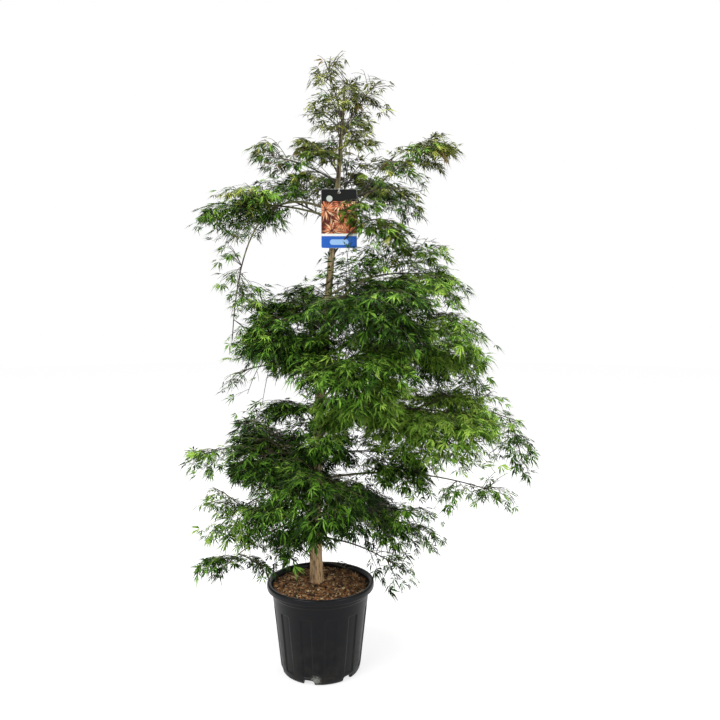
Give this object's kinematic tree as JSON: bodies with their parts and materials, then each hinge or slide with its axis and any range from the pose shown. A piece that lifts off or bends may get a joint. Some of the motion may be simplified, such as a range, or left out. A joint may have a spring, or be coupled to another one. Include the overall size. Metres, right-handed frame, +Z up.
{
  "type": "potted japanese maple",
  "caption": "Tall laceleaf japanese maple with weeping tiers of foliage on a slim leader, in a round black nursery pot with bark mulch and a hanging picture tag.",
  "frame": {"origin": "middle of the pot's flat underside", "axes": "+Z up along the plant, +X to the right and -Y towards the viewer as the plant is pictured"},
  "size_m": [1.3783, 0.9459, 2.3028],
  "materials": {
    "pot_plastic": "black moulded plastic, soft sheen, dusty low down",
    "mulch": "rough bark chips and potting mix",
    "bark": "smooth grey-brown young bark, flaking orange-brown at the foot",
    "foliage": "matt leaves, mid green with yellow-green and bronze tips",
    "tag_card": "printed laminated card",
    "tag_tie": "pale plastic tie"
  },
  "bodies": {
    "root": {"pot": "pot_plastic", "soil": "mulch", "trunk": "bark", "tag_card": "tag_card", "tag_tie": "tag_tie", "bough_right_plume": "bark", "bough_left_arm": "bark", "bough_left_whips": "bark", "bough_right_shelf": "bark", "bough_right_shelf_tip": "bark", "bough_middle_back": "bark", "bough_right_middle": "bark", "bough_right_middle_tip": "bark", "bough_right_back": "bark", "bough_left_low": "bark", "bough_left_low_tip": "bark", "bough_left_weeping": "bark", "bough_left_hanging": "bark", "bough_right_low": "bark", "bough_right_sweep": "bark", "bough_right_fringe": "bark", "foliage_crown_tip": "foliage", "foliage_tip_left": "foliage", "foliage_tip_right": "foliage", "foliage_collar_front": "foliage", "foliage_collar_back": "foliage", "foliage_collar_left": "foliage", "foliage_shoulder_left": "foliage", "foliage_shoulder_right": "foliage", "foliage_right_plume": "foliage", "foliage_shoulder_back": "foliage", "foliage_left_arm_inner": "foliage", "foliage_left_arm": "foliage", "foliage_left_whips": "foliage", "foliage_right_curtain": "foliage", "foliage_right_shelf": "foliage", "foliage_right_shelf_tip": "foliage", "foliage_front_dome": "foliage", "foliage_left_dome": "foliage", "foliage_left_skirt": "foliage", "foliage_middle_back": "foliage", "foliage_right_middle": "foliage", "foliage_right_middle_tip": "foliage", "foliage_front_middle": "foliage", "foliage_right_back": "foliage", "foliage_left_shoulder_low": "foliage", "foliage_left_low": "foliage", "foliage_left_low_tip": "foliage", "foliage_left_weeping": "foliage", "foliage_left_hanging": "foliage", "foliage_left_back_low": "foliage", "foliage_front_low_left": "foliage", "foliage_front_low": "foliage", "foliage_front_knee": "foliage", "foliage_right_low": "foliage", "foliage_right_sweep": "foliage", "foliage_right_under": "foliage", "foliage_right_fringe": "foliage", "foliage_right_weeping": "foliage", "foliage_back_low": "foliage"}
  },
  "joints": []
}
